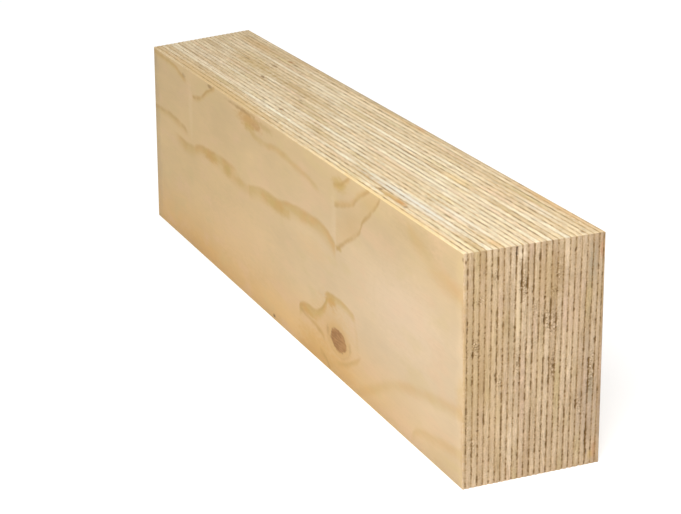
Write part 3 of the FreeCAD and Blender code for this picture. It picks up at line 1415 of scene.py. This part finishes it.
RIGHT_FACE_LINES = (
    RingLine(
        ((-262, 38), (-200, 43), (-150, 52), (-110, 60), (-70, 63), (-38, 60)),
        line=0.25, band=0.6, fade=8.0, end_fade=5.0, edge=2.6,
    ),
    RingLine(
        ((-262, 74), (-190, 80), (-135, 91), (-90, 98), (-38, 101)),
        line=0.3, band=0.55, fade=6.0, end_fade=5.0,
    ),
    RingLine(
        ((-40, 79), (10, 85), (70, 87), (130, 80), (190, 82), (262, 91)),
        line=0.25, band=0.65, fade=9.0, end_fade=5.0, edge=2.6,
    ),
    RingLine(
        ((-40, 45), (20, 51), (70, 50), (120, 43), (180, 41), (262, 47)),
        line=0.2, band=0.5, fade=6.0, end_fade=5.0, edge=3.0,
    ),
    RingLine(
        ((50, 19), (96, 27), (140, 26), (190, 19), (262, 14)),
        line=0.3, band=0.45, fade=5.0, end_fade=24.0,
    ),
    RingLine(
        ((-160, 10), (-100, 19), (-60, 21), (-20, 15), (10, 6)),
        line=0.3, band=0.4, fade=4.5, end_fade=20.0,
    ),
    RingLine(((-262, 14), (-220, 17), (-180, 16), (-150, 8)), line=0.25, band=0.45, fade=5.0, end_fade=10.0),
    RingLine(((70, 121), (110, 112), (150, 109), (200, 113), (262, 121)), line=0.4, band=0.4, fade=4.0),
)

RIGHT_FACE_STAINS = stains_and_light_from(
    (-150, 104, 40, 8, 0.4, AMBER), (120, 8, 60, 8, 0.35, AMBER), (40, 82, 60, 5, 0.4, OLIVE),
    (-90, 58, 40, 5, 0.4, GOLD), (60, 110, 26, 6, 0.35, OLIVE), (-43, 80, 5, 50, 0.16, (240, 216, 178)),
    (60, 30, 90, 14, 0.2, (236, 204, 164)),
)

EDGE_STAINS_AND_LIGHT = stains_and_light_from(
    # The row at (150, -38.6) is the outer veneer's warm yellow tone together with a painted warm highlight
    # along the left arris.
    (150, -38.6, 190, 6.6, 0.85, (244, 212, 152)), (-100, -35, 175, 8.5, 0.85, (222, 189, 134)),
    (-218, -34.5, 36, 4, 0.5, (204, 170, 116)), (-150, -22.6, 110, 2, 0.8, (255, 237, 204)),
    (-200, -19, 40, 1.2, 0.6, (170, 136, 90)), (-70, 6.2, 112, 4.8, 0.6, (200, 168, 114)),
    (-90, 14.8, 50, 2.4, 0.3, (210, 182, 130)), (60, 5, 50, 3.4, 0.4, (220, 190, 138)),
    (-85, 20.6, 160, 2.6, 0.62, CREAM), (-205, 12.4, 34, 2.2, 0.35, CREAM),
    (-120, -3, 80, 1.2, 0.5, (186, 152, 98)), (-208, 1.6, 40, 4.2, 0.55, (188, 157, 106)),
    (-30, 29, 110, 2.2, 0.72, (255, 234, 200)), (60, 13, 70, 2.8, 0.85, (254, 240, 212)),
    (60, 20.5, 60, 2.4, 0.3, CREAM), (110, -4, 60, 3, 0.35, CREAM),
    (160, -25.2, 82, 4.8, 0.75, (234, 230, 216)), (198, -15.4, 46, 3.6, 0.55, (244, 238, 220)),
    (200, 25, 36, 3, 0.45, (244, 238, 220)), (205, 0, 36, 3.4, 0.35, (218, 192, 144)),
    (-142, 6, 60, 9, 0.4, OLIVE), (-190, 27, 42, 6, 0.45, (214, 172, 110)),
    (-190, -14, 40, 7, 0.3, (212, 184, 150)), (20, 34, 90, 3, 0.45, (226, 188, 128)),
    # The row at (0, 38.2) is painted shade: a grey-olive strip along the right arris.
    (-125, 34.6, 66, 3, 0.5, (208, 172, 120)), (0, 38.2, 260, 4.2, 0.75, (178, 164, 132)),
    (44, 36, 10, 2.6, 0.55, (226, 172, 124)), (140, 11, 24, 5, 0.45, (250, 220, 158)),
    (238, -18, 10, 4, 0.45, (236, 192, 132)), (-28, -17.6, 6, 1.2, 0.7, CREAM),
    (-137, 28.6, 6, 1.6, 0.8, (180, 124, 74)), (-127, 27.6, 6, 1.4, 0.6, DUSK),
    (-109, -1.4, 6, 1.4, 0.85, DUSK), (-132, 15.4, 7, 1.3, 0.75, DUSK), (-162, 7.4, 13, 1, 0.65, DUSK),
    (-31, -19.6, 3.2, 1.9, 0.85, DUSK), (-45, -1.6, 5, 1.1, 0.65, DUSK),
    (150, -31.4, 20, 2.8, 0.9, (208, 172, 112)), (162, -31.6, 10, 2.5, 0.9, (206, 152, 88)),
    (137, -31, 2.6, 1.5, 0.75, DUSK), (170, -32.2, 2.4, 1.8, 0.75, DUSK),
    (192, -19.8, 7, 1.1, 0.85, (110, 88, 62)), (212, -17.4, 6, 1, 0.6, DUSK),
    (240, 27.6, 4.5, 1.4, 0.85, DUSK), (196, 35, 66, 3.2, 0.65, (220, 178, 122)),
    (118, 17.6, 8, 1, 0.5, DUSK),
)

END_STAINS = stains_and_light_from(
    (-36.7, 60, 1.4, 80, 0.6, (204, 168, 116)), (-27, 66, 20, 90, 0.36, (206, 173, 122)),
    (-33.8, 68, 3, 70, 0.5, (184, 156, 114)), (-8.8, 86, 1.7, 36, 0.6, (242, 216, 178)),
    (-12.6, 76, 2.6, 44, 0.4, (176, 152, 122)), (6, 101, 11, 21, 0.45, (188, 156, 106)),
    (20, 78, 9, 24, 0.3, (224, 194, 160)), (14, 102, 4, 18, 0.7, (182, 152, 114)),
    (30, 62, 6, 16, 0.4, (202, 180, 154)), (2.5, 55, 5, 18, 0.35, (226, 196, 158)),
    (-19, 30, 5, 22, 0.3, (228, 198, 158)), (30, 30, 10, 30, 0.42, (180, 156, 138)),
    (-7, 116, 2.7, 6.5, 0.85, (250, 228, 196)), (32.5, 5.5, 2.4, 3.5, 0.5, (222, 188, 120)),
    (31.5, 41, 3.6, 11, 0.65, ASH), (31, 106, 3.4, 14, 0.7, ASH), (36, 112, 1.6, 7, 0.45, (206, 140, 100)),
    (34.5, 8, 2, 9, 0.35, (206, 140, 90)), (29.7, 17, 0.8, 15, 0.7, DUSK),
    (29.7, 7, 0.9, 4.5, 0.9, (60, 40, 24)), (-36.4, 115.6, 0.7, 1.4, 0.8, DUSK),
)


def make_finishes() -> dict[Finish, bpy.types.Material]:
    """Builds the four materials.

    Returns:
        The material for each finish.
    """
    end = SawnVeneers(
        "sawn_end",
        along_grain=False,
        stains_and_light=END_STAINS,
        pale=(238, 212, 178),
        middle=(214, 187, 153),
        dark=(188, 158, 124),
        ring=(156, 122, 74),
        glue=(158, 123, 72),
        glue_dark=(116, 88, 46),
        tear=(114, 84, 42),
        blush=(218, 186, 160),
        moss=(200, 176, 126),
        tone_route=(
            (0, 0.0), (4, 0.0), (5.5, 0.2), (7.5, 0.0), (9.5, 0.15), (12, 0.0), (20, 0.0),
            (23.5, -0.2), (25, 0.0),
        ),
        dash_length=1.7,
        crack_length=1.4,
        streak_length=22.0,
        tone_length=34.0,
        fine_length=3.0,
        strip_length=9.0,
        glue_width=0.35,
        glue_strength=0.82,
        ring_strength=0.6,
        fine_strength=0.12,
        strip_strength=0.12,
        waver=1.2,
        bead=(0.2, 1.0),
        # Painted shade: the far end is painted a little darker than the square end.
        painted_light_fall=(0.95, 0.995),
        far_flat=0.0,
    )
    finishes = {
        Finish.LEFT_FACE: PeeledVeneer("peeled_face_left", LEFT_FACE_LINES, LEFT_FACE_STAINS_AND_SHADE, KNOT),
        Finish.RIGHT_FACE: PeeledVeneer("peeled_face_right", RIGHT_FACE_LINES, RIGHT_FACE_STAINS, seed=31.0),
        Finish.SAWN_EDGE: SawnVeneers("sawn_edge", stains_and_light=EDGE_STAINS_AND_LIGHT),
        Finish.SAWN_END: end,
    }
    return {slot: finish.make() for slot, finish in finishes.items()}


def placed(name: str, data: bpy.types.ID) -> bpy.types.Object:
    """Puts a new object into the scene.

    Args:
        name: Its name.
        data: Its mesh, light or camera.

    Returns:
        The object.
    """
    thing = bpy.data.objects.new(name, data)
    bpy.context.scene.collection.objects.link(thing)
    return thing


def for_camera(tree: bpy.types.NodeTree, operation: str, value: float, socket: bpy.types.NodeSocket) -> None:
    """Feeds a strength that differs where the camera itself sees the surface.

    Args:
        tree: The nodes.
        operation: How the value is joined with 1 for the camera and 0 for all other light.
        value: The value.
        socket: What gets the result.
    """
    path = tree.nodes.new("ShaderNodeLightPath")
    seen = tree.nodes.new("ShaderNodeMath")
    seen.operation = operation
    seen.inputs[1].default_value = value
    tree.links.new(path.outputs["Is Camera Ray"], seen.inputs[0])
    tree.links.new(seen.outputs[0], socket)


@dataclass
class Studio:
    """A white floor, plain soft light and a white surround."""

    floor_half: float = 6.0
    floor_tone: float = 0.80
    floor_lift: float = 0.50
    surround: float = 0.44
    key_power: float = 16.5
    key_size: float = 0.8
    key_place: tuple[float, float, float] = (0.92, -0.72, 0.97)
    fill_power: float = 9.0
    fill_place: tuple[float, float, float] = (-1.3, 1.6, 0.5)
    aim: tuple[float, float, float] = (0.08, 0.0, 0.06)

    def build(self) -> None:
        """Makes the floor, the lamps and the surround."""
        self.floor()
        self.lamp("key", self.key_place, self.key_power)
        self.lamp("fill", self.fill_place, self.fill_power)
        self.world()

    def floor(self) -> None:
        """Lays the floor: matt white that takes the shadow, lifted to plain white for the camera."""
        mesh = bpy.data.meshes.new("floor")
        h = self.floor_half
        mesh.from_pydata([(-h, -h, 0), (h, -h, 0), (h, h, 0), (-h, h, 0)], [], [(0, 1, 2, 3)])
        material = bpy.data.materials.new("floor_white")
        material.use_nodes = True
        sockets = material.node_tree.nodes["Principled BSDF"].inputs
        sockets["Base Color"].default_value = (self.floor_tone,) * 3 + (1.0,)
        sockets["Roughness"].default_value = 0.9
        sockets["Specular IOR Level"].default_value = 0.1
        sockets["Emission Color"].default_value = (1.0, 1.0, 1.0, 1.0)
        for_camera(material.node_tree, "MULTIPLY", self.floor_lift, sockets["Emission Strength"])
        mesh.materials.append(material)
        placed("floor", mesh)

    def lamp(self, name: str, place: tuple[float, float, float], power: float) -> None:
        """Hangs a soft square lamp that points at the beam.

        Args:
            name: The lamp's name.
            place: Where it hangs.
            power: Its power in watts.
        """
        light = bpy.data.lights.new(name, "AREA")
        light.energy = power
        light.size = self.key_size
        lamp = placed(name, light)
        lamp.location = place
        lamp.rotation_euler = (Vector(self.aim) - Vector(place)).to_track_quat("-Z", "Y").to_euler()

    def world(self) -> None:
        """Makes the surround: soft white light, and plain white where the camera sees it."""
        world = bpy.data.worlds.new("surround")
        bpy.context.scene.world = world
        world.use_nodes = True
        sockets = world.node_tree.nodes["Background"].inputs
        sockets["Color"].default_value = (1.0, 1.0, 1.0, 1.0)
        for_camera(world.node_tree, "MAXIMUM", self.surround, sockets["Strength"])


@dataclass
class PhotoCamera:
    """The camera at the photograph's viewing angle."""

    eye: tuple[float, float, float] = (0.99660, -0.41421, 0.41392)
    aim: tuple[float, float, float] = (0.0, 0.00375, 0.03446)
    roll: float = math.radians(-0.843)
    lens: float = 102.296

    def build(self) -> None:
        """Places the camera: it looks from the eye to the aim and is then rolled about that line."""
        camera = bpy.data.cameras.new("photo_camera")
        camera.lens = self.lens
        camera.sensor_width = 36.0
        camera.sensor_fit = "HORIZONTAL"
        camera.clip_end = 60.0
        rig = placed("photo_camera", camera)
        level = (Vector(self.aim) - Vector(self.eye)).to_track_quat("-Z", "Y")
        rig.location = self.eye
        rig.rotation_euler = (level @ Quaternion((0.0, 0.0, 1.0), self.roll)).to_euler()
        bpy.context.scene.camera = rig


def main() -> None:
    """Builds the studio, the camera and the beam's skin, and reports each piece."""
    logging.basicConfig(level=logging.INFO, format="%(name)s: %(message)s")
    bpy.context.scene.view_settings.view_transform = "Standard"
    PhotoCamera().build()
    Studio().build()
    beam = BeamSkin()
    skin = beam.build()
    beam.dress(skin, make_finishes())
    LOG.info("%s: %d vertices, %d faces", skin.name, len(skin.data.vertices), len(skin.data.polygons))


if __name__ == "__main__":
    main()
